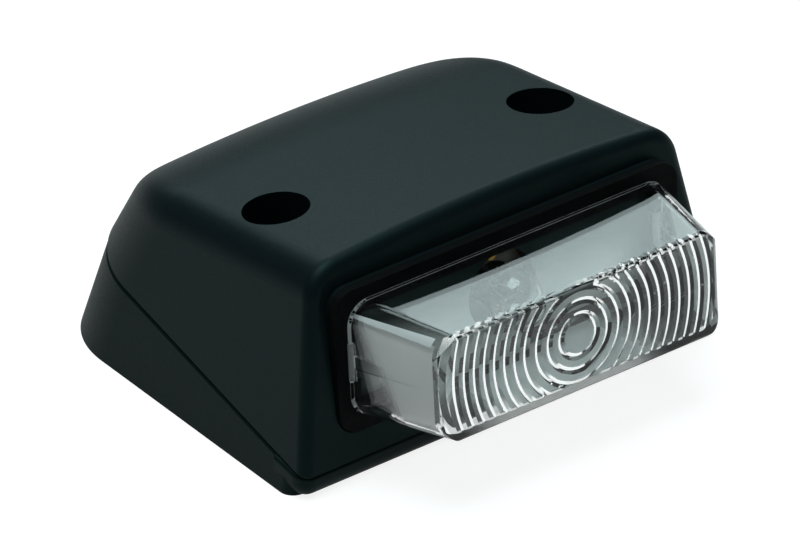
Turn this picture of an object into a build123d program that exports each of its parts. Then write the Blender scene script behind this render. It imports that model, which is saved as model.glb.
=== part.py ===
from build123d import *
import os
from math import atan2, cos, radians, sin, tan

# Roof marker lamp: a black housing on a wedge base, a clear box lens in front and a bayonet bulb inside.
# Millimetres and degrees. The origin is midway between the fixing holes on the mounting plane, +Z is up,
# the lens faces -Y, and +X is to the right seen from the front.

# Mounting face and fixing holes
fixing_spacing = 65.0
fixing_setback = 32.6  # from the toe of the wedge back to the line of the holes
fixing_hole_diameter = 5.5
base_width = 105.0  # at the toe
base_depth = 86.0  # from the toe to the back edge

# Outer shape of housing and wedge
side_draft = 9.5  # sides lean in towards the top
side_taper = 2.0  # sides close in towards the back, in plan
back_corner_radius = 21.5
seam_height = 4.9  # seam between wedge and housing, at the toe
seam_angle = 11.1  # the seam climbs to the back
wedge_back_lean = 14.3
housing_back_lean = 26.0
face_lean = 9.3
face_overhang = 0.3  # front face ahead of the toe, at the seam
top_height = 44.6  # above the mounting plane, over the line of the holes
top_fall = 7.5  # the top falls to the back
crown_radius = 464.0
roll_reach = 35.4  # the top starts to roll off this far ahead of the back edge of the base
roll_radius = 52.0
top_edge_radius = 8.0
face_edge_radius = 2.5
seam_chamfer = 0.5

# Housing walls and screw wells
housing_wall = 2.5
face_wall = 3.0
well_diameter = 13.3
well_wall = 1.8
well_floor = 5.0  # above the seam, on the axis of the hole

# Wedge
toe_depth = 3.0
toe_corner_radius = 3.4
toe_lower_radius = 3.2
toe_upper_radius = 0.9
skirt_wall = 2.8
skirt_corner_radius = 3.0
web_thickness = 2.5
pocket_start = 9.0  # the hollow under the web starts this far behind the toe
boss_diameter = 13.0
lip_height = 2.0
lip_thickness = 1.6
lip_clearance = 0.25

# Lens
lens_height = 26.1  # centre of the lens foot above the mounting plane
lens_standoff = 1.7  # lens foot in front of the front face, at the centre
lens_tilt = 4.2  # the lens axis points up a little
lens_depth = 22.5
lens_foot_width = 78.3
lens_foot_height = 24.8
lens_foot_radius = 5.0
lens_front_width = 67.7
lens_front_height = 22.4
lens_front_radius = 4.6
lens_inner_radius = 0.8  # least corner radius inside the lens
lens_front_edge = 0.9  # rounding of the upper and lower front edges
lens_end_edge = 2.8  # rounding of the upright front edges
lens_wall = 1.3
lens_front_wall = 2.4
ring_first_radius = 4.4
ring_inner_pitch = 2.85
ring_inner_count = 3
ring_outer_pitch = 2.45
ring_outer_count = 9
ring_width = 1.5
ring_height = 0.58
ring_root = 0.3  # how far the rings run into the front wall
tongue_width = 8.0
tongue_thickness = 1.8
tongue_clearance = 0.25
hook_reach = 0.8
hook_length = 2.0
hook_clearance = 0.15
gusset_length = 15.5
gusset_width = 2.8
gusset_depth = 0.9
gusset_tip_width = 1.6
gusset_tip_depth = 0.1

# Lens seal and its seat in the housing
seal_width = 84.0
seal_height = 30.4
seal_radius = 4.5
seal_thickness = 2.2
seal_overlap = 3.0  # the opening in the seal is this much inside the lens foot
seal_opening_radius = 1.5
seal_clearance = 0.25
seat_thickness = 4.0
pocket_reach = 6.0
bulb_opening_diameter = 16.5

# Bulb holder
plate_width = 36.0
plate_height = 21.0
plate_radius = 3.0
plate_thickness = 2.0
plate_screw_spacing = 27.0
screw_diameter = 2.2
screw_clearance = 0.05
screw_grip = 2.9
screw_hole_spare = 0.3  # screw holes run this much past the tips
screw_head_diameter = 4.4
screw_head_height = 1.6
screw_slot_width = 0.7
screw_slot_depth = 0.7
shell_wall = 0.45
shell_clearance = 0.25
shell_flange_diameter = 15.2
shell_flange = 0.6
shell_lip = 0.4
shell_lip_reach = 0.75
plate_fit = 0.1
rivet_radius = 6.4  # rivets from the lamp axis
rivet_diameter = 1.5
rivet_head_diameter = 2.2
rivet_head = 0.5
rivet_clearance = 0.03
slot_width = 2.0
slot_offset = 2.2
terminal_width = 4.8
terminal_thickness = 0.6
earth_blade_length = 11.0
earth_foot = 5.4
earth_foot_margin = 1.0  # foot of the terminal below its rivet
live_blade_length = 10.0
insulator_thickness = 1.5
insulator_fit = 0.05
disc_thickness = 1.4
disc_fit = 0.3
contact_stem_diameter = 1.9
contact_head_diameter = 3.6
contact_head = 0.5
spring_length = 3.1
spring_radius = 1.4
spring_wire = 0.5
spring_turns = 3.5

# Bulb
pin_depth = 7.3  # bayonet pins behind the front of the holder plate
pin_diameter = 1.7
pin_span = 10.8
cap_diameter = 9.0
cap_wall = 0.4
cap_ahead_of_pin = 5.0
cap_behind_pin = 3.5
cap_insulator_height = 1.5
tip_height = 1.0
tip_diameter = 3.6
bulb_length = 26.5  # from the contact to the top of the glass
glass_diameter = 11.1
glass_wall = 0.5
neck_length = 2.5
neck_fit = 0.1
stem_flare_height = 0.5
stem_diameter = 3.0
stem_height = 6.0
light_centre = 15.0  # filament ahead of the pins
lead_diameter = 0.4
lead_foot_spacing = 2.0
filament_length = 4.0
filament_radius = 0.3
filament_wire = 0.14
filament_pitch = 0.42

# Cable grommet in the web of the wedge
grommet_setback = 14.0  # behind the line of the holes
grommet_hole_diameter = 10.0
grommet_bore_diameter = 5.0
grommet_flange_diameter = 14.0
grommet_flange = 1.5
grommet_fit = 0.05

stock = 400.0
toe_y = -fixing_setback
back_y = toe_y + base_depth
roll_start = back_y - roll_reach
seam_rise = tan(radians(seam_angle))
bottom_plane = Plane(origin=(0, 0, 0), z_dir=(0, 0, -1))


def seam_plane(lift=0.0):
    """The plane of the seam, facing up, moved out along its own normal."""
    normal = Vector(0, -sin(radians(seam_angle)), cos(radians(seam_angle)))
    return Plane(origin=Vector(0, toe_y, seam_height) + normal * lift, x_dir=(1, 0, 0), z_dir=normal)


def flipped(plane):
    return Plane(origin=plane.origin, x_dir=plane.x_dir, z_dir=-plane.z_dir)


def side_planes(inset=0.0):
    """The right and left walls, facing out, moved in by the inset."""
    planes = []
    for side in (1, -1):
        normal = Vector(side, tan(radians(side_taper)), tan(radians(side_draft))).normalized()
        corner = Vector(side * base_width / 2, toe_y, 0)
        planes.append(Plane(origin=corner - normal * inset, z_dir=normal))
    return planes


def wedge_back_plane(inset=0.0):
    normal = Vector(0, 1, tan(radians(wedge_back_lean))).normalized()
    return Plane(origin=Vector(0, back_y, 0) - normal * inset, z_dir=normal)


def housing_back_plane(inset=0.0):
    """The back of the housing starts where the back of the wedge meets the seam."""
    wedge_slope = tan(radians(wedge_back_lean))
    seam_back_z = (seam_height + base_depth * seam_rise) / (1 + seam_rise * wedge_slope)
    start = Vector(0, back_y - seam_back_z * wedge_slope, seam_back_z)
    normal = Vector(0, 1, tan(radians(housing_back_lean))).normalized()
    return Plane(origin=start - normal * inset, z_dir=normal)


def face_plane(inset=0.0):
    normal = Vector(0, -1, tan(radians(face_lean))).normalized()
    return Plane(origin=Vector(0, toe_y - face_overhang, seam_height) - normal * inset, z_dir=normal)


def face_y(height):
    """Depth of the front face at a height."""
    return toe_y - face_overhang + (height - seam_height) * tan(radians(face_lean))


def cut_to(part, planes):
    """Keep what lies behind every plane."""
    for plane in planes:
        part = split(part, bisect_by=plane, keep=Keep.BOTTOM)
    return part


def edges_on(part, *planes):
    """Edges that lie on all the planes."""
    def lies_on(edge, plane):
        return all(abs(plane.to_local_coords(edge @ t).Z) < 0.01 for t in (0, 0.3, 0.7, 1))
    return [edge for edge in part.edges() if all(lies_on(edge, plane) for plane in planes)]


def disc(diameter, start, end, at=(0, 0)):
    """A round bar along Z between two heights."""
    bar = Cylinder(diameter / 2, abs(end - start), align=(Align.CENTER, Align.CENTER, Align.MIN))
    return Pos(at[0], at[1], min(start, end)) * bar


def tube(outer, inner, start, end):
    return disc(outer, start, end) - disc(inner, start - 1, end + 1)


def block(x_range, y_range, z_range):
    """A box between limits on each axis."""
    sizes = [limits[1] - limits[0] for limits in (x_range, y_range, z_range)]
    middles = [(limits[1] + limits[0]) / 2 for limits in (x_range, y_range, z_range)]
    return Pos(*middles) * Box(*sizes)


def rounded_slab(width, height, radius, start, end):
    """A rounded rectangle in XY, extruded between two heights."""
    slab = extrude(RectangleRounded(width, height, radius), amount=abs(end - start))
    return Pos(0, 0, min(start, end)) * slab


# The lens frame: Z runs forward along the lens axis from the lens foot, Y points up.
tilt = radians(lens_tilt)
lens_frame = Plane(
    origin=(0, face_y(lens_height) - lens_standoff, lens_height),
    x_dir=(1, 0, 0),
    z_dir=(0, -cos(tilt), sin(tilt)),
)
seal_back = -seal_thickness
seat_back = seal_back - seat_thickness
plate_back = seat_back - plate_thickness
flange_front = seat_back + shell_flange
pin_z = seat_back - pin_depth
cap_front = pin_z + cap_ahead_of_pin
cap_back = pin_z - cap_behind_pin
tip_front = cap_back - cap_insulator_height
tip_back = tip_front - tip_height
disc_front = tip_back - contact_head
disc_back = disc_front - disc_thickness
spring_front = disc_back - contact_head
spring_back = spring_front - spring_length
insulator_front = spring_back - contact_head
insulator_back = insulator_front - insulator_thickness
shell_back = insulator_back - shell_lip
shell_bore = cap_diameter + 2 * shell_clearance
shell_diameter = shell_bore + 2 * shell_wall
screw_hole_diameter = screw_diameter + 2 * screw_clearance
rivet_hole_diameter = rivet_diameter + 2 * rivet_clearance
contact_hole_diameter = contact_stem_diameter + 2 * insulator_fit
tongue_face = lens_foot_width / 2
hook_start = seat_back - hook_clearance


def crowned_top(inset):
    """All that lies below the top: crowned across, falling to the back and rolling off there."""
    fall = radians(top_fall)
    along = Vector(0, cos(fall), -sin(fall))
    up = Vector(0, sin(fall), cos(fall))
    axis_frame = Plane(origin=Vector(0, 0, top_height) - up * crown_radius, x_dir=up, z_dir=along)
    height = crown_radius - inset
    roll_centre = Vector(crown_radius - roll_radius, roll_start)
    radius = roll_radius - inset
    slant = cos(radians(45)) * radius
    middle = Vector(cos(radians(22.5)), sin(radians(22.5))) * radius + roll_centre
    end = Vector(slant, slant) + roll_centre
    edge = [
        Line((0, -stock / 2), (height, -stock / 2)),
        Line((height, -stock / 2), (height, roll_start)),
        ThreePointArc((height, roll_start), middle, end),
        Line(end, end + Vector(-stock / 4, stock / 4)),
        Line(end + Vector(-stock / 4, stock / 4), (0, end.Y + stock / 4)),
        Line((0, end.Y + stock / 4), (0, -stock / 2)),
    ]
    profile = make_face([Plane.XZ * item for item in edge])
    return axis_frame * revolve(profile, Axis.Z)


def top_rim(form, front_stock):
    """Edges between the top and the walls, without the one on the front stock."""
    walls = GeomType.PLANE
    top_faces = [face for face in form.faces() if face.geom_type != walls and face.normal_at().Z > 0.5]
    edges = [edge for face in top_faces for edge in face.edges()]
    inner = [edge for face in top_faces for other in top_faces if not face.is_same(other)
             for edge in face.edges() if any(edge.is_same(twin) for twin in other.edges())]
    left_out = inner + edges_on(form, front_stock)
    return [edge for edge in edges if not any(edge.is_same(other) for other in left_out)]


def housing_form(inset, face_inset):
    """The outer form of the housing, or the same form moved in by the insets."""
    sides = side_planes(inset)
    back = housing_back_plane(inset)
    front_stock = Plane(origin=(0, toe_y - base_depth / 4, 0), z_dir=(0, -1, 0))
    top_stock = Plane(origin=(0, 0, 1.5 * top_height), z_dir=(0, 0, 1))
    form = cut_to(Box(stock, stock, stock), [*sides, back, front_stock, bottom_plane, top_stock])
    corners = [edge for side in sides for edge in edges_on(form, side, back)]
    form = fillet(corners, back_corner_radius - inset) & crowned_top(inset)
    form = fillet(top_rim(form, front_stock), top_edge_radius - inset)
    return cut_to(form, [face_plane(face_inset)])


def well_places():
    return [(side * fixing_spacing / 2, 0) for side in (1, -1)]


def make_housing():
    seam = seam_plane()
    outer = cut_to(housing_form(0, 0), [flipped(seam)])
    face = face_plane()
    face_edges = [edge for edge in edges_on(outer, face) if edge not in edges_on(outer, face, seam)]
    outer = fillet(face_edges, face_edge_radius)
    outer = chamfer(edges_on(outer, seam), seam_chamfer)
    body = outer - housing_form(housing_wall, face_wall)
    seat = rounded_slab(seal_width, seal_height, seal_radius, seat_back, seal_back)
    body = body + lens_frame * seat
    for place in well_places():
        body = body + (disc(well_diameter + 2 * well_wall, 0, stock / 4, place) & outer)
    floor_z = seam_height + fixing_setback * seam_rise + well_floor
    for place in well_places():
        body = body - disc(well_diameter, floor_z, stock / 4, place)
        body = body - disc(fixing_hole_diameter, 0, floor_z + 1, place)
    room = 2 * seal_clearance
    pocket = rounded_slab(
        seal_width + room, seal_height + room, seal_radius + seal_clearance, seal_back, pocket_reach
    )
    body = body - lens_frame * pocket
    openings = disc(bulb_opening_diameter, seat_back - 1, seal_back + 1)
    for side in (1, -1):
        limits = sorted((side * (tongue_face + tongue_clearance),
                         side * (tongue_face - tongue_thickness - tongue_clearance)))
        height = tongue_width / 2 + tongue_clearance
        openings += block(limits, (-height, height), (seat_back - 1, seal_back + 1))
        hole_end = seat_back + screw_grip + screw_hole_spare
        openings += disc(screw_hole_diameter, seat_back - 1, hole_end, (side * plate_screw_spacing / 2, 0))
    return body - lens_frame * openings


def make_wedge_base():
    sides = side_planes()
    back = wedge_back_plane()
    front = Plane(origin=(0, toe_y + toe_depth, 0), z_dir=(0, -1, 0))
    skirt = cut_to(Box(stock, stock, stock), [bottom_plane, *sides, back, front, seam_plane(seam_height)])
    skirt = fillet([edge for side in sides for edge in edges_on(skirt, side, back)], back_corner_radius)
    skirt = fillet([edge for side in sides for edge in edges_on(skirt, side, front)], skirt_corner_radius)
    skirt = cut_to(skirt, [seam_plane()])
    skirt = chamfer(edges_on(skirt, seam_plane()), seam_chamfer)

    half_toe = base_width / 2 - seam_height * tan(radians(side_draft))
    toe = block((-half_toe, half_toe), (toe_y, toe_y + pocket_start), (0, 2 * seam_height))
    toe = cut_to(toe, [seam_plane()])
    toe_front = Plane(origin=(0, toe_y, 0), z_dir=(0, -1, 0))
    toe_ends = [Plane(origin=(side * half_toe, 0, 0), z_dir=(side, 0, 0)) for side in (1, -1)]
    toe = fillet([edge for end in toe_ends for edge in edges_on(toe, toe_front, end)], toe_corner_radius)
    toe = fillet(edges_on(toe, toe_front, bottom_plane), toe_lower_radius)
    toe = fillet(edges_on(toe, toe_front, seam_plane()), toe_upper_radius)
    body = skirt + toe

    hollow_front = Plane(origin=(0, toe_y + pocket_start, 0), z_dir=(0, -1, 0))
    hollow_back = wedge_back_plane(skirt_wall)
    hollow_sides = side_planes(skirt_wall)
    hollow = cut_to(
        Box(stock, stock, stock), [seam_plane(-web_thickness), *hollow_sides, hollow_back, hollow_front]
    )
    hollow_corners = [edge for side in hollow_sides for edge in edges_on(hollow, side, hollow_back)]
    hollow = fillet(hollow_corners, back_corner_radius - skirt_wall)
    body = body - hollow

    lip_outer = housing_form(housing_wall + lip_clearance, face_wall + lip_clearance)
    lip_inset = lip_clearance + lip_thickness
    lip_inner = housing_form(housing_wall + lip_inset, face_wall + lip_inset)
    lip_limits = [seam_plane(lip_height), flipped(seam_plane(-web_thickness / 2))]
    body = body + cut_to(lip_outer - lip_inner, lip_limits)

    for place in well_places():
        body = body + cut_to(disc(boss_diameter, 0, stock / 4, place), [seam_plane()])
    for place in well_places():
        body = body - disc(fixing_hole_diameter, -1, stock / 4, place)
    return body - grommet_frame() * disc(grommet_hole_diameter, -2 * web_thickness, web_thickness)


def grommet_frame():
    """Z up out of the web, from the seam, on the middle line behind the holes."""
    run = (fixing_setback + grommet_setback) / cos(radians(seam_angle))
    return seam_plane() * Pos(0, run, 0)


def make_cable_grommet():
    neck = disc(grommet_hole_diameter - 2 * grommet_fit, -web_thickness, 0)
    upper = disc(grommet_flange_diameter, 0, grommet_flange)
    lower = disc(grommet_flange_diameter, -web_thickness - grommet_flange, -web_thickness)
    bore = disc(grommet_bore_diameter, -stock / 10, stock / 10)
    return grommet_frame() * (neck + upper + lower - bore)


def lens_loft(inset):
    """The box of the lens between its foot and its front, moved in by the inset."""
    ends = []
    for width, height, radius, place in (
        (lens_foot_width, lens_foot_height, lens_foot_radius, 0),
        (lens_front_width, lens_front_height, lens_front_radius, lens_depth),
    ):
        corner = max(radius - inset, lens_inner_radius)
        ends.append(Pos(0, 0, place) * RectangleRounded(width - 2 * inset, height - 2 * inset, corner))
    return loft(ends, ruled=True)


def ring_radii():
    """Radius of the ridge of each ring."""
    radii = [ring_first_radius + ring_inner_pitch * index for index in range(ring_inner_count)]
    start = ring_first_radius + ring_inner_pitch * ring_inner_count
    return radii + [start + ring_outer_pitch * index for index in range(ring_outer_count)]


def make_rings(base):
    """Ring prisms with ridges that stand back from the inside of the front wall."""
    half = ring_width / 2
    points = [(0, base + ring_root), (0, base)]
    for radius in ring_radii():
        points += [(radius - half, base), (radius, base - ring_height), (radius + half, base)]
    points.append((points[-1][0], base + ring_root))
    profile = make_face(Plane.XZ * Polyline(*points, close=True))
    return revolve(profile, Axis.Z)


def make_lens():
    outer = lens_loft(0)
    end_slope = (lens_foot_width - lens_front_width) / 2 / lens_depth
    roof_slope = (lens_foot_height - lens_front_height) / 2 / lens_depth
    end_sketch = Plane.XZ * rounding(lens_front_width / 2, end_slope, lens_end_edge)
    roof_sketch = Plane.YZ * rounding(lens_front_height / 2, roof_slope, lens_front_edge)
    end_cut = extrude(end_sketch, amount=stock / 4, both=True)
    roof_cut = extrude(roof_sketch, amount=stock / 4, both=True)
    for turn in (0, 180):
        outer = outer - Rot(0, 0, turn) * end_cut - Rot(0, 0, turn) * roof_cut
    base = lens_depth - lens_front_wall
    inner = lens_loft(lens_wall)
    body = outer - cut_to(inner, [Plane(origin=(0, 0, base))])
    body = body + (make_rings(base) & lens_loft(lens_wall / 2))
    for side in (1, -1):
        inside = tongue_face - tongue_thickness
        half = tongue_width / 2
        limits = sorted((side * tongue_face, side * inside))
        body = body + block(limits, (-half, half), (hook_start - hook_length, lens_wall / 2))
        hook = Polyline((tongue_face, hook_start), (tongue_face + hook_reach, hook_start),
                        (tongue_face, hook_start - hook_length), close=True)
        hook_solid = extrude(make_face(Plane.XZ * hook), amount=half, both=True)
        body = body + (hook_solid if side > 0 else mirror(hook_solid, about=Plane.YZ))
        body = body + make_gusset(side)
    return lens_frame * body


def rounding(half, slope, radius):
    """What a rounding takes off the front corner of a wall that leans in towards the front.

    The sketch has the wall's half width across and the lens axis up. The corner lies at (half, lens_depth).
    """
    turn = atan2(1, slope)
    reach = radius * tan(turn / 2)
    wall = Vector(slope, -1).normalized()
    corner = Vector(half, lens_depth)
    on_front = corner - Vector(reach, 0)
    on_wall = corner + wall * reach
    clear = Vector(radius, radius)
    arc = RadiusArc(on_wall, on_front, -radius, short_sagitta=True)
    return make_face([arc, *Polyline(on_front, on_front + Vector(0, radius), corner + clear,
                                     on_wall + Vector(radius, 0), on_wall).edges()])


def make_gusset(side):
    """A tapered rib inside the end wall, ahead of the snap tongue."""
    wall_slope = (lens_foot_width - lens_front_width) / 2 / lens_depth
    root = lens_foot_width / 2 - lens_wall / 2

    def section(height, width, depth):
        outer = root - wall_slope * height
        inner = outer - lens_wall / 2 - depth
        centre = Pos((outer + inner) / 2, 0, height)
        return centre * Rectangle(outer - inner, width)

    root_section = section(0, gusset_width, gusset_depth)
    tip_section = section(gusset_length, gusset_tip_width, gusset_tip_depth)
    rib = loft([root_section, tip_section], ruled=True)
    return rib if side > 0 else mirror(rib, about=Plane.YZ)


def make_lens_seal():
    ring = rounded_slab(seal_width, seal_height, seal_radius, seal_back, 0)
    opening = rounded_slab(
        lens_foot_width - 2 * seal_overlap, lens_foot_height - 2 * seal_overlap,
        seal_opening_radius, seal_back - 1, 1,
    )
    ring = ring - opening
    half = tongue_width / 2 + tongue_clearance
    reach = tongue_face + tongue_clearance
    return lens_frame * (ring - block((-reach, reach), (-half, half), (seal_back - 1, 1)))


def make_holder_plate():
    plate = rounded_slab(plate_width, plate_height, plate_radius, plate_back, seat_back)
    plate = plate - disc(shell_diameter + 2 * plate_fit, plate_back - 1, seat_back + 1)
    for side in (1, -1):
        screw_place = (side * plate_screw_spacing / 2, 0)
        plate = plate - disc(screw_hole_diameter, plate_back - 1, seat_back + 1, screw_place)
        plate = plate - disc(rivet_hole_diameter, plate_back - 1, seat_back + 1, (0, side * rivet_radius))
    return lens_frame * plate


def make_plate_screws():
    screws = []
    for side in (1, -1):
        place = (side * plate_screw_spacing / 2, 0)
        head_back = plate_back - screw_head_height
        screw = disc(screw_diameter, plate_back, seat_back + screw_grip, place)
        screw = screw + disc(screw_head_diameter, head_back, plate_back, place)
        slot_sides = (place[0] - screw_head_diameter, place[0] + screw_head_diameter)
        slot_walls = (-screw_slot_width / 2, screw_slot_width / 2)
        slot = block(slot_sides, slot_walls, (head_back - 1, head_back + screw_slot_depth))
        screws.append(lens_frame * (screw - slot))
    return screws


def make_holder_shell():
    sleeve = disc(shell_diameter, shell_back, flange_front)
    sleeve = sleeve + disc(shell_flange_diameter, seat_back, flange_front)
    sleeve = sleeve - disc(shell_bore, insulator_back, flange_front + 1)
    sleeve = sleeve - disc(shell_bore - 2 * shell_lip_reach, shell_back - 1, insulator_back + 1)
    half = slot_width / 2
    entry_sides = (-slot_offset - half, -slot_offset + half)
    entry = block((0, shell_diameter), entry_sides, (pin_z - half, flange_front + 1))
    seat = block((0, shell_diameter), (-slot_offset - half, half), (pin_z - half, pin_z + half))
    for turn in (0, 180):
        sleeve = sleeve - Rot(0, 0, turn) * (entry + seat)
    for side in (1, -1):
        rivet_place = (0, side * rivet_radius)
        sleeve = sleeve - disc(rivet_hole_diameter, seat_back - 1, flange_front + 1, rivet_place)
    return lens_frame * sleeve


def make_shell_rivets():
    """The upper rivet also clamps the earth terminal."""
    rivets = []
    for side in (1, -1):
        place = (0, side * rivet_radius)
        clamp_back = plate_back - (terminal_thickness if side > 0 else 0)
        rivet = disc(rivet_diameter, clamp_back, flange_front, place)
        rivet = rivet + disc(rivet_head_diameter, flange_front, flange_front + rivet_head, place)
        rivet = rivet + disc(rivet_head_diameter, clamp_back - rivet_head, clamp_back, place)
        rivets.append(lens_frame * rivet)
    return rivets


def make_earth_terminal():
    half = terminal_width / 2
    foot_bottom = rivet_radius - earth_foot_margin
    foot_top = foot_bottom + earth_foot
    blade_bottom = foot_top - terminal_thickness
    foot = block((-half, half), (foot_bottom, foot_top), (plate_back - terminal_thickness, plate_back))
    blade = block((-half, half), (blade_bottom, foot_top), (plate_back - earth_blade_length, plate_back))
    hole = disc(rivet_hole_diameter, plate_back - 2, plate_back + 1, (0, rivet_radius))
    return lens_frame * (foot + blade - hole)


def make_end_insulator():
    body = disc(shell_bore - 2 * insulator_fit, insulator_back, insulator_front)
    return lens_frame * (body - disc(contact_hole_diameter, insulator_back - 1, insulator_front + 1))


def make_live_terminal():
    stem = disc(contact_stem_diameter, shell_back, insulator_front)
    head = disc(contact_head_diameter, insulator_front, spring_back)
    sides = (-terminal_width / 2, terminal_width / 2)
    faces = (-terminal_thickness / 2, terminal_thickness / 2)
    blade = block(sides, faces, (shell_back - live_blade_length, shell_back))
    return lens_frame * (stem + head + blade)


def make_contact_disc():
    body = disc(shell_bore - 2 * disc_fit, disc_back, disc_front)
    return lens_frame * (body - disc(contact_hole_diameter, disc_back - 1, disc_front + 1))


def make_centre_contact():
    stem = disc(contact_stem_diameter, disc_back, disc_front)
    front_head = disc(contact_head_diameter, disc_front, tip_back)
    rear_head = disc(contact_head_diameter, spring_front, disc_back)
    return lens_frame * (stem + front_head + rear_head)


def coil(pitch, height, radius, wire):
    """A round wire wound about Z, starting at the origin."""
    path = Helix(pitch=pitch, height=height, radius=radius)
    section = Plane(origin=path @ 0, z_dir=path % 0) * Circle(wire / 2)
    return sweep(section, path=path)


def make_contact_spring():
    height = spring_length - spring_wire
    winding = coil(height / spring_turns, height, spring_radius, spring_wire)
    return lens_frame * Pos(0, 0, spring_back + spring_wire / 2) * winding


def make_bulb_cap():
    cap = tube(cap_diameter, cap_diameter - 2 * cap_wall, cap_back, cap_front)
    pin = Rot(0, 90, 0) * disc(pin_diameter, -pin_span / 2, pin_span / 2)
    pins = Pos(0, 0, pin_z) * pin - disc(cap_diameter - cap_wall, cap_back, cap_front)
    return lens_frame * (cap + pins)


def make_bulb_cap_insulator():
    cone = Cone(tip_diameter / 2, cap_diameter / 2, cap_insulator_height,
                align=(Align.CENTER, Align.CENTER, Align.MIN))
    return lens_frame * Pos(0, 0, tip_front) * cone


def make_bulb_tip():
    return lens_frame * disc(tip_diameter, tip_back, tip_front)


def glass_form(inset):
    """The globe and neck of the bulb, moved in by the inset."""
    radius = glass_diameter / 2
    globe_z = tip_back + bulb_length - radius
    neck_diameter = cap_diameter - 2 * cap_wall - 2 * neck_fit - 2 * inset
    globe = Pos(0, 0, globe_z) * Sphere(radius - inset)
    return globe + disc(neck_diameter, cap_front - neck_length - inset, globe_z)


def make_bulb_glass():
    return lens_frame * (glass_form(0) - glass_form(glass_wall))


def stem_top():
    return cap_front - neck_length + stem_height


def make_bulb_stem():
    bore = cap_diameter - 2 * cap_wall - 2 * neck_fit - 2 * glass_wall
    foot = cap_front - neck_length
    flare = disc(bore - neck_fit, foot, foot + stem_flare_height)
    return lens_frame * (flare + disc(stem_diameter, foot, stem_top()))


def lead_tip_x():
    return (filament_length + lead_diameter) / 2


def make_filament_leads():
    leads = []
    for side in (1, -1):
        foot = Vector(side * lead_foot_spacing / 2, 0, stem_top())
        tip = Vector(side * lead_tip_x(), 0, pin_z + light_centre)
        path = Line(foot, tip)
        section = Plane(origin=foot, z_dir=path % 0) * Circle(lead_diameter / 2)
        stem_face = Plane(origin=foot, z_dir=(0, 0, -1))
        leads.append(lens_frame * cut_to(sweep(section, path=path), [stem_face]))
    return leads


def make_filament():
    height = filament_length - filament_wire
    winding = Pos(0, 0, -height / 2) * coil(filament_pitch, height, filament_radius, filament_wire)
    return lens_frame * Pos(0, 0, pin_z + light_centre - filament_radius) * Rot(0, 90, 0) * winding


def write(name, shape):
    """Write one node, as one solid or as a group of separate solids."""
    solids = shape if isinstance(shape, list) else [shape]
    pieces = [solid for item in solids for solid in item.solids()]
    node = pieces[0] if len(pieces) == 1 else Compound(children=pieces)
    export_step(node, os.path.join("parts", name + ".step"))


os.makedirs("parts", exist_ok=True)
write("housing", make_housing())
write("wedge_base", make_wedge_base())
write("lens", make_lens())
write("lens_seal", make_lens_seal())
write("holder_plate", make_holder_plate())
write("plate_screws", make_plate_screws())
write("holder_shell", make_holder_shell())
write("shell_rivets", make_shell_rivets())
write("earth_terminal", make_earth_terminal())
write("end_insulator", make_end_insulator())
write("live_terminal", make_live_terminal())
write("contact_disc", make_contact_disc())
write("centre_contact", make_centre_contact())
write("contact_spring", make_contact_spring())
write("bulb_cap", make_bulb_cap())
write("bulb_cap_insulator", make_bulb_cap_insulator())
write("bulb_tip", make_bulb_tip())
write("bulb_glass", make_bulb_glass())
write("bulb_stem", make_bulb_stem())
write("filament_leads", make_filament_leads())
write("filament", make_filament())
write("cable_grommet", make_cable_grommet())
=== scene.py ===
# %% [markdown]
# # A roof marker lamp
# The lamp sits on a vehicle's roof: a black moulded housing on a wedge, with a clear box lens at the front.
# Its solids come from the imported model, at their real size in metres, and stay as they are.
# What this lesson adds is what the eye judges: the finish of each piece, the light and the camera.

# %% Load the lamp
from math import cos, radians, sin

import bpy
from mathutils import Matrix, Vector

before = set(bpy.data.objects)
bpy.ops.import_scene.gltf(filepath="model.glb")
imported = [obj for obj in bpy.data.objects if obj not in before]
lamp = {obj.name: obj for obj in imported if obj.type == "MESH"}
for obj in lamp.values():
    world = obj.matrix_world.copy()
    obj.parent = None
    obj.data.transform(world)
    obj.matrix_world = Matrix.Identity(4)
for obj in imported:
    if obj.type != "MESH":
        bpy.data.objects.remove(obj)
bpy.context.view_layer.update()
MM = 0.001

# %% [markdown]
# ## The camera
# A product picture is taken from far off with a long lens, so that parallel edges stay nearly parallel.
# The camera could be placed by trial in the viewport. Here it is set by the two angles of the view and by how
# much of the lamp's width the picture spans, because those can be read off the picture's own edges.

# %% Camera
PICTURE_WIDTH = 155.6 * MM
VIEW_AZIMUTH = radians(-38.36)
VIEW_ELEVATION = radians(31.37)
VIEW_DISTANCE = 2.5
AIM_RIGHT = -1.72 * MM
AIM_UP = 13.88 * MM

view_right = Vector((cos(VIEW_AZIMUTH), sin(VIEW_AZIMUTH), 0))
view_back = Vector((
    sin(VIEW_AZIMUTH) * cos(VIEW_ELEVATION),
    -cos(VIEW_AZIMUTH) * cos(VIEW_ELEVATION),
    sin(VIEW_ELEVATION),
))
view_up = view_back.cross(view_right)

camera_data = bpy.data.cameras.new("camera")
camera_data.sensor_fit = "HORIZONTAL"
camera_data.sensor_width = 36
camera_data.lens = camera_data.sensor_width * VIEW_DISTANCE / PICTURE_WIDTH
camera = bpy.data.objects.new("camera", camera_data)
camera.matrix_world = Matrix((view_right, view_up, view_back)).transposed().to_4x4()
camera.location = view_right * AIM_RIGHT + view_up * AIM_UP + view_back * VIEW_DISTANCE
bpy.context.scene.collection.objects.link(camera)
bpy.context.scene.camera = camera
print("focal length, mm:", round(camera_data.lens, 1))

# %% [markdown]
# ## Helpers for the finishes
# Every finish is a small node tree. It could be put together by hand in the shader editor, but the same few
# steps repeat, so they are functions here. One turns a colour as it is written on the web into the linear
# values that shaders use, and one adds a node with its settings and links.


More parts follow.
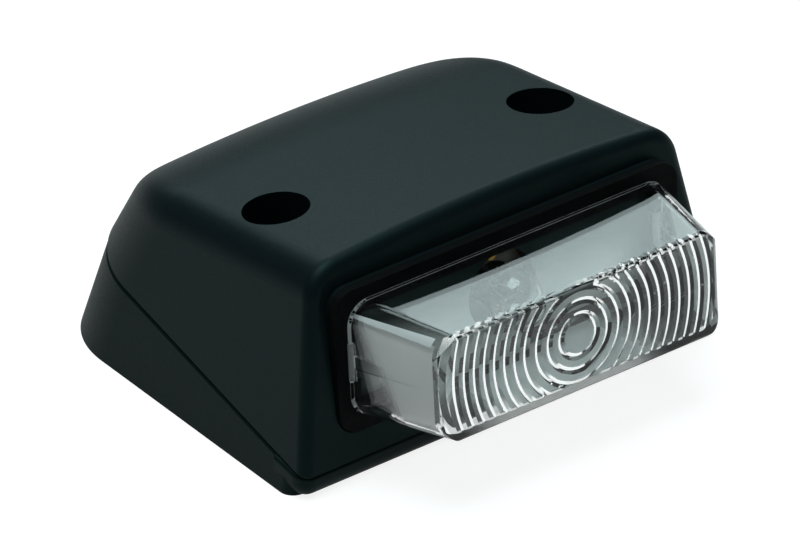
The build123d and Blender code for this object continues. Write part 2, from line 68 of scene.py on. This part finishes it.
# %% Colours and nodes
def linear(hex_colour):
    """The linear colour of an sRGB hex value."""
    channels = [int(hex_colour[place:place + 2], 16) / 255 for place in (1, 3, 5)]
    curved = [c / 12.92 if c <= 0.04045 else ((c + 0.055) / 1.055) ** 2.4 for c in channels]
    return (*curved, 1)


def add(tree, kind, inputs=None, **settings):
    """A new node. Each input is set to a value, or linked to a socket or to another node's first output."""
    node = tree.nodes.new(kind)
    for name, value in settings.items():
        setattr(node, name, value)
    for name, value in (inputs or {}).items():
        if isinstance(value, bpy.types.Node):
            value = value.outputs[0]
        if isinstance(value, bpy.types.NodeSocket):
            tree.links.new(value, node.inputs[name])
        else:
            node.inputs[name].default_value = value
    return node


# %% [markdown]
# A material reads Object coordinates, which are metres here because every piece sits unscaled at the origin,
# so a pattern keeps its real size on every piece. Its finish is a function that builds the shader.


# %% Materials
def make_material(name, finish, *details):
    """A material named for the real one, with the shader that the finish builds."""
    material = bpy.data.materials.new(name)
    material.use_nodes = True
    tree = material.node_tree
    tree.nodes.clear()
    coordinates = add(tree, "ShaderNodeTexCoord")
    shader = finish(tree, coordinates.outputs["Object"], *details)
    add(tree, "ShaderNodeOutputMaterial", {"Surface": shader})
    return material


def dress(material, *names):
    """Give pieces of the lamp a material."""
    for name in names:
        for slot in lamp[name].material_slots:
            slot.material = material
    print(material.name, "on", ", ".join(names))


# %% [markdown]
# No real surface is one flat colour with one gloss. Two functions let colour and roughness wander in blotches
# of a real size. Given the same size they follow the same noise, so a paler spot is also a little rougher.


# %% Uneven surfaces
def mottled_colour(tree, place, size_mm, first, second, detail=2.0):
    """A colour that wanders between two, in blotches of about the size."""
    noise = add(tree, "ShaderNodeTexNoise", {"Vector": place, "Scale": 1 / (size_mm * MM), "Detail": detail})
    # A Mix node has sockets for each kind of data: 6 and 7 take its two colours, and output 2 is their blend.
    mix = add(tree, "ShaderNodeMix", {0: noise, 6: linear(first), 7: linear(second)}, data_type="RGBA")
    return mix.outputs[2]


def uneven_roughness(tree, place, size_mm, low, high, detail=2.0):
    """Roughness from low to high, where the noise's middle range is stretched to fill it."""
    noise = add(tree, "ShaderNodeTexNoise", {"Vector": place, "Scale": 1 / (size_mm * MM), "Detail": detail})
    return add(tree, "ShaderNodeMapRange", {
        "Value": noise, "From Min": 0.3, "From Max": 0.7, "To Min": low, "To Max": high,
    })


# %% [markdown]
# ## Places inside the lens
# Two finishes change from place to place around the lens, which leans up a little. They could be painted on a
# map, but the places are simple, so sums on coordinates find them: a turned and moved copy counts millimetres
# from the middle of the lens's foot.

# %% Lens coordinates
FOOT_PLACE = (0, -31.13 * MM, 26.1 * MM)
LENS_TILT = 4.2


def lens_coordinates(tree, place):
    """Millimetres across, up and ahead of the middle of the lens's foot."""
    turned = add(tree, "ShaderNodeMapping", {
        "Vector": place,
        "Location": FOOT_PLACE,
        "Rotation": (radians(90 - LENS_TILT), 0, 0),
        "Scale": (MM, MM, MM),
    }, vector_type="TEXTURE")
    return add(tree, "ShaderNodeSeparateXYZ", {"Vector": turned}).outputs


# %% [markdown]
# ## Pale coat
# The seat behind the bulb has a pale sprayed coat, which throws light forward. It is full along the seat's
# lower edge and fades out towards the ends and the top, as a spray does. It is only a colour, so it needs no
# piece of its own: it covers the plastic's colour where the seat is. Each pair of values says where the coat
# is bare and where it is full, in the lens's millimetres.

# %% Coat on the seat
SEAT_AHEAD = -2.2
SEAT_TOLERANCE = 0.4
COAT_ACROSS = (36.0, 24.0)
COAT_UP = (6.0, -7.0)
COAT_COLOUR = "#DCE2E2"


def pale_coat(tree, place, colour):
    """The colour, turned pale on the seat behind the bulb."""
    across, up, ahead = lens_coordinates(tree, place)
    aside = add(tree, "ShaderNodeMath", {0: across}, operation="ABSOLUTE")
    covered = add(tree, "ShaderNodeMath", {0: ahead, 1: SEAT_AHEAD, 2: SEAT_TOLERANCE}, operation="COMPARE")
    for value, (bare, full) in ((aside, COAT_ACROSS), (up, COAT_UP)):
        faded = add(tree, "ShaderNodeMapRange", {"Value": value, "From Min": bare, "From Max": full},
                    interpolation_type="SMOOTHSTEP")
        covered = add(tree, "ShaderNodeMath", {0: covered, 1: faded}, operation="MULTIPLY")
    mix = add(tree, "ShaderNodeMix", {0: covered, 6: colour, 7: linear(COAT_COLOUR)}, data_type="RGBA")
    return mix.outputs[2]


# %% [markdown]
# ## Black moulded plastic
# Housing and wedge are injection moulded. The steel mould was spark eroded to a fine even grain, so the skin
# is satin: no sharp reflections, a soft sheen on the top, and a colour that is a very dark blue-grey rather
# than a pure black. Real grain is about 0.1 mm wide, too fine for the picture, so it is drawn three to four
# times as wide. As geometry it would take millions of faces, so it is a bump and an uneven roughness.

# %% Moulded plastic
SHADE_MM = 14
SHEEN_LEVEL = 0.15
SHEEN_TINT = "#C2FFF8"


def moulded_plastic(tree, place, deep, pale, roughness, grain_mm, grain_height_mm, coat=None):
    colour = mottled_colour(tree, place, SHADE_MM, deep, pale)
    grain = add(tree, "ShaderNodeTexNoise", {"Vector": place, "Scale": 1 / (grain_mm * MM), "Detail": 1.0})
    bump = add(tree, "ShaderNodeBump", {"Height": grain, "Distance": grain_height_mm * MM, "Strength": 1.0})
    return add(tree, "ShaderNodeBsdfPrincipled", {
        "Base Color": coat(tree, place, colour) if coat else colour,
        "Roughness": uneven_roughness(tree, place, grain_mm, roughness - 0.05, roughness + 0.05, 1.0),
        "IOR": 1.5,
        "Specular IOR Level": SHEEN_LEVEL,
        "Specular Tint": linear(SHEEN_TINT),
        "Normal": bump,
    })


abs_skin = make_material("moulded_abs", moulded_plastic, "#0C1518", "#101A1D", 0.45, 0.35, 0.003, pale_coat)
wedge_skin = make_material("moulded_polypropylene", moulded_plastic, "#0E1617", "#121B1C", 0.5, 0.4, 0.004)
dress(abs_skin, "housing")
dress(wedge_skin, "wedge_base")

# %% [markdown]
# ## Rubber
# The seal round the lens and the grommet in the base are moulded rubber: black, matt, and darker than the
# plastic beside them. A plain black would look like paint, so colour and roughness wander a little.


# %% Rubber
def rubber(tree, place):
    return add(tree, "ShaderNodeBsdfPrincipled", {
        "Base Color": mottled_colour(tree, place, 3, "#08090A", "#0D0F10"),
        "Roughness": uneven_roughness(tree, place, 3, 0.6, 0.75),
        "IOR": 1.52,
        "Specular IOR Level": 0.08,
    })


dress(make_material("black_rubber", rubber), "lens_seal", "cable_grommet")

# %% [markdown]
# ## Clear acrylic
# The lens is a box of clear acrylic with real walls and ring prisms on the inside of its front. A see-through
# shader would show the rings only as faint shapes, so the shader bends light, with acrylic's index of 1.49:
# the rings then catch the white floor, and the top wall mirrors the light behind. The mould is polished where
# the lens is looked through. The inside is satin, and so pale grey, on the two end walls, on the middle of
# the bottom and on the foot. On the ends the satin fades out towards the foot, along a slanted edge. Again
# a pair of satin values says where it is bare and where it is full.

# %% Satin places
FOOT_HALF = (39.15, 12.4)
FRONT_HALF = (33.85, 11.2)
LENS_DEPTH = 22.5
LENS_WALL = 1.3
END_SATIN = (4.0, 9.0)
SATIN_SLANT = 0.5
BOTTOM_SATIN = (25.0, 13.0)
SATIN_FRONT = 19.1
SATIN_FOOT = 0.05


def satin_wall(tree, foot, front, distance, ahead, along, bare, full):
    """One on the inside of a wall that tapers from foot to front, fading in along it from bare to full."""
    taper = (foot - front) / LENS_DEPTH
    straightened = add(tree, "ShaderNodeMath", {0: ahead, 1: taper, 2: distance}, operation="MULTIPLY_ADD")
    inside = add(tree, "ShaderNodeMath", {0: straightened, 1: foot - LENS_WALL, 2: LENS_WALL / 2},
                 operation="COMPARE")
    faded = add(tree, "ShaderNodeMapRange", {"Value": along, "From Min": bare, "From Max": full},
                interpolation_type="SMOOTHSTEP")
    return add(tree, "ShaderNodeMath", {0: inside, 1: faded}, operation="MULTIPLY")


def satin_places(tree, place):
    """One on the satin faces of the lens, nought elsewhere."""
    across, up, ahead = lens_coordinates(tree, place)
    aside = add(tree, "ShaderNodeMath", {0: across}, operation="ABSOLUTE")
    height = add(tree, "ShaderNodeMath", {0: up}, operation="ABSOLUTE")
    down = add(tree, "ShaderNodeMath", {0: up, 1: -1.0}, operation="MULTIPLY")
    slanted = add(tree, "ShaderNodeMath", {0: up, 1: SATIN_SLANT, 2: ahead}, operation="MULTIPLY_ADD")
    ends = satin_wall(tree, FOOT_HALF[0], FRONT_HALF[0], aside, ahead, slanted, *END_SATIN)
    between = add(tree, "ShaderNodeMath", {0: height, 1: FRONT_HALF[1] - LENS_WALL / 2},
                  operation="LESS_THAN")
    ends = add(tree, "ShaderNodeMath", {0: ends, 1: between}, operation="MULTIPLY")
    bottom = satin_wall(tree, FOOT_HALF[1], FRONT_HALF[1], down, ahead, aside, *BOTTOM_SATIN)
    walls = add(tree, "ShaderNodeMath", {0: ends, 1: bottom}, operation="MAXIMUM")
    behind = add(tree, "ShaderNodeMath", {0: ahead, 1: SATIN_FRONT}, operation="LESS_THAN")
    walls = add(tree, "ShaderNodeMath", {0: walls, 1: behind}, operation="MULTIPLY")
    foot = add(tree, "ShaderNodeMath", {0: ahead, 1: SATIN_FOOT}, operation="LESS_THAN")
    return add(tree, "ShaderNodeMath", {0: walls, 1: foot}, operation="MAXIMUM")


# %% [markdown]
# Satin is a fine roughness that also scatters light inside the wall, so there the shader is rough and lets
# only a small part of the light straight through.

# %% Acrylic
SATIN_ROUGHNESS = 0.4
SATIN_SCATTER = 0.85
FLOW_MM = 9


def clear_acrylic(tree, place):
    satin = satin_places(tree, place)
    polish = uneven_roughness(tree, place, FLOW_MM, 0.0, 0.008)
    return add(tree, "ShaderNodeBsdfPrincipled", {
        "Base Color": linear("#F0F3F2"),
        "Roughness": add(tree, "ShaderNodeMath", {0: satin, 1: SATIN_ROUGHNESS, 2: polish},
                         operation="MULTIPLY_ADD"),
        "IOR": 1.49,
        "Transmission Weight": add(tree, "ShaderNodeMath", {0: satin, 1: -SATIN_SCATTER, 2: 1.0},
                                   operation="MULTIPLY_ADD"),
    })


dress(make_material("clear_acrylic", clear_acrylic), "lens")

# %% [markdown]
# ## Glass of the bulb
# The bulb is blown soda glass, half a millimetre thick, on a pressed glass stem. Its wall is modelled, so the
# shader only has to bend light, and the globe shows as a faint round edge with a spark in it. The black foot
# of the bulb's cap is fused glass too, which is opaque and shiny.


# %% Glass
def clear_glass(tree, place):
    return add(tree, "ShaderNodeBsdfPrincipled", {
        "Base Color": linear("#FAFCFC"),
        "Roughness": uneven_roughness(tree, place, 5, 0.0, 0.02),
        "IOR": 1.52,
        "Transmission Weight": 1.0,
    })


def fused_glass(tree, place):
    return add(tree, "ShaderNodeBsdfPrincipled", {
        "Base Color": mottled_colour(tree, place, 1.5, "#0B0B0D", "#17171A"),
        "Roughness": uneven_roughness(tree, place, 1.5, 0.15, 0.3),
        "IOR": 1.52,
    })


dress(make_material("blown_glass", clear_glass), "bulb_glass", "bulb_stem")
dress(make_material("black_fused_glass", fused_glass), "bulb_cap_insulator")

# %% [markdown]
# ## Metals of the bulb and its holder
# Terminals and rivets are bare brass. The holder's sleeve is nickel plate and the bulb's cap is brass, and
# both are painted much darker than these metals are: painted shade for the dark inside of the lamp, which
# also dims their reflections of the lights. Screws and spring are steel, the tip is solder, the leads are
# nickel wire and the filament is tungsten. They differ in colour, in how much the surface scatters and in the
# size of its blotches, so one function makes them all. Through the lens they show as a dark opening with a
# spot of brass.

# %% Metals
METALS = {
    # Painted shade: the sleeve's nickel is drawn dark for the shaded inside of the lamp.
    "nickel_plate_painted_shade": ("#4A4844", "#5A5853", 0.5, 4, ["holder_shell"]),
    "bare_brass": ("#B48F45", "#CDA75A", 0.32, 2,
                   ["shell_rivets", "earth_terminal", "live_terminal", "centre_contact"]),
    # Painted shade: the cap's brass is drawn dark for the shaded inside of the lamp.
    "brass_painted_shade": ("#4A412D", "#594E37", 0.55, 3, ["bulb_cap"]),
    "zinc_plated_steel": ("#A9ABAA", "#C4C6C4", 0.35, 1.5, ["plate_screws"]),
    "spring_steel": ("#8F9090", "#A9AAAA", 0.3, 1, ["contact_spring"]),
    "tinned_solder": ("#A6A7A8", "#BFC0C1", 0.4, 1, ["bulb_tip"]),
    "nickel_wire": ("#8E8A84", "#A19D96", 0.35, 1, ["filament_leads"]),
    "tungsten_wire": ("#5A5A5E", "#6C6C70", 0.4, 0.5, ["filament"]),
}


def metal(tree, place, dull, bright, roughness, blotch_mm):
    return add(tree, "ShaderNodeBsdfPrincipled", {
        "Base Color": mottled_colour(tree, place, blotch_mm, dull, bright),
        "Roughness": uneven_roughness(tree, place, blotch_mm, roughness - 0.07, roughness + 0.07),
        "Metallic": 1.0,
    })


for name, (dull, bright, roughness, blotch_mm, pieces) in METALS.items():
    dress(make_material(name, metal, dull, bright, roughness, blotch_mm), *pieces)

# %% [markdown]
# ## Paper laminate
# The plate and the discs that keep the contacts apart are punched from brown paper laminate, the usual board
# for such holders. Layers of paper in a resin leave fine streaks, so the noise is squeezed in one direction.


# %% Laminate
def paper_laminate(tree, place):
    streaks = add(tree, "ShaderNodeMapping", {"Vector": place, "Scale": (1.0, 1.0, 6.0)})
    return add(tree, "ShaderNodeBsdfPrincipled", {
        "Base Color": mottled_colour(tree, streaks, 2.5, "#5A3518", "#8A5A2E", 4.0),
        "Roughness": uneven_roughness(tree, streaks, 2.5, 0.45, 0.6, 4.0),
        "IOR": 1.5,
    })


dress(make_material("paper_laminate", paper_laminate), "holder_plate", "end_insulator", "contact_disc")

# %% [markdown]
# ## Floor
# The lamp stands on a plain white floor. More light would whiten the floor but wash out the black plastic.
# So the floor's paint is a pale grey, and the rest of its white is a glow that doesn't light matt surfaces.
# Straight views and views through the lens see all of it, and reflections half, so the black sides stay dark.

# %% Floor
FLOOR_SIZE = 6.0
FLOOR_GLOW = 0.86
MIRRORED_SHARE = 0.5
PAINT_SHADE_MM = 400


def white_floor(tree, place):
    grey = mottled_colour(tree, place, PAINT_SHADE_MM, "#9A9A9A", "#9E9E9E")
    paint = add(tree, "ShaderNodeBsdfDiffuse", {"Color": grey})
    path = add(tree, "ShaderNodeLightPath").outputs
    straight = add(tree, "ShaderNodeMath", {0: path["Is Camera Ray"], 1: path["Is Transmission Ray"]},
                   operation="MAXIMUM")
    mirrored = add(tree, "ShaderNodeMath", {0: path["Is Glossy Ray"], 1: MIRRORED_SHARE},
                   operation="MULTIPLY")
    seen = add(tree, "ShaderNodeMath", {0: straight, 1: mirrored}, operation="MAXIMUM")
    strength = add(tree, "ShaderNodeMath", {0: seen, 1: FLOOR_GLOW}, operation="MULTIPLY")
    glow = add(tree, "ShaderNodeEmission", {"Strength": strength})
    return add(tree, "ShaderNodeAddShader", {0: paint, 1: glow})


bpy.ops.mesh.primitive_plane_add(size=FLOOR_SIZE)
floor = bpy.context.object
floor.name = "floor"
floor.data.materials.append(make_material("white_floor", white_floor))
print("floor:", FLOOR_SIZE, "m")

# %% [markdown]
# ## Lights
# A large softbox stands behind the lamp and mirrors in the flat top of the lens, which turns half of it pale,
# up to the line where the housing hides it. A second one hangs above, a little to the left, and lights the
# top and the left side. The front stays in the shade, which sets the lens off. Small lamps would do for the
# level of light, but they would show as hard spots in the plastic and in the lens.

# %% Lights
LIGHT_COLOUR = "#E6FAFC"


def softbox(name, place, width, height, power):
    """A rectangular soft light that faces the lamp."""
    data = bpy.data.lights.new(name, "AREA")
    data.shape = "RECTANGLE"
    data.size = width
    data.size_y = height
    data.energy = power
    data.color = linear(LIGHT_COLOUR)[:3]
    light = bpy.data.objects.new(name, data)
    light.location = place
    light.rotation_euler = Vector(place).to_track_quat("Z", "Y").to_euler()
    bpy.context.scene.collection.objects.link(light)
    print(name, "at", place)


softbox("back_softbox", place=(0.45, 0.6, 0.52), width=1.0, height=0.36, power=2.7)
softbox("top_softbox", place=(-0.1, 0.0, 0.9), width=0.7, height=0.7, power=6.2)

# %% [markdown]
# The room adds a faint even light, so that no side is lost in the dark. The Standard view shows colours as
# they are written.

# %% Room
ROOM_LEVEL = 0.05

world = bpy.data.worlds.new("room")
world.use_nodes = True
background = world.node_tree.nodes["Background"]
background.inputs["Color"].default_value = linear("#F2F5F8")
background.inputs["Strength"].default_value = ROOM_LEVEL
bpy.context.scene.world = world
bpy.context.scene.view_settings.view_transform = "Standard"
print("room level:", ROOM_LEVEL)
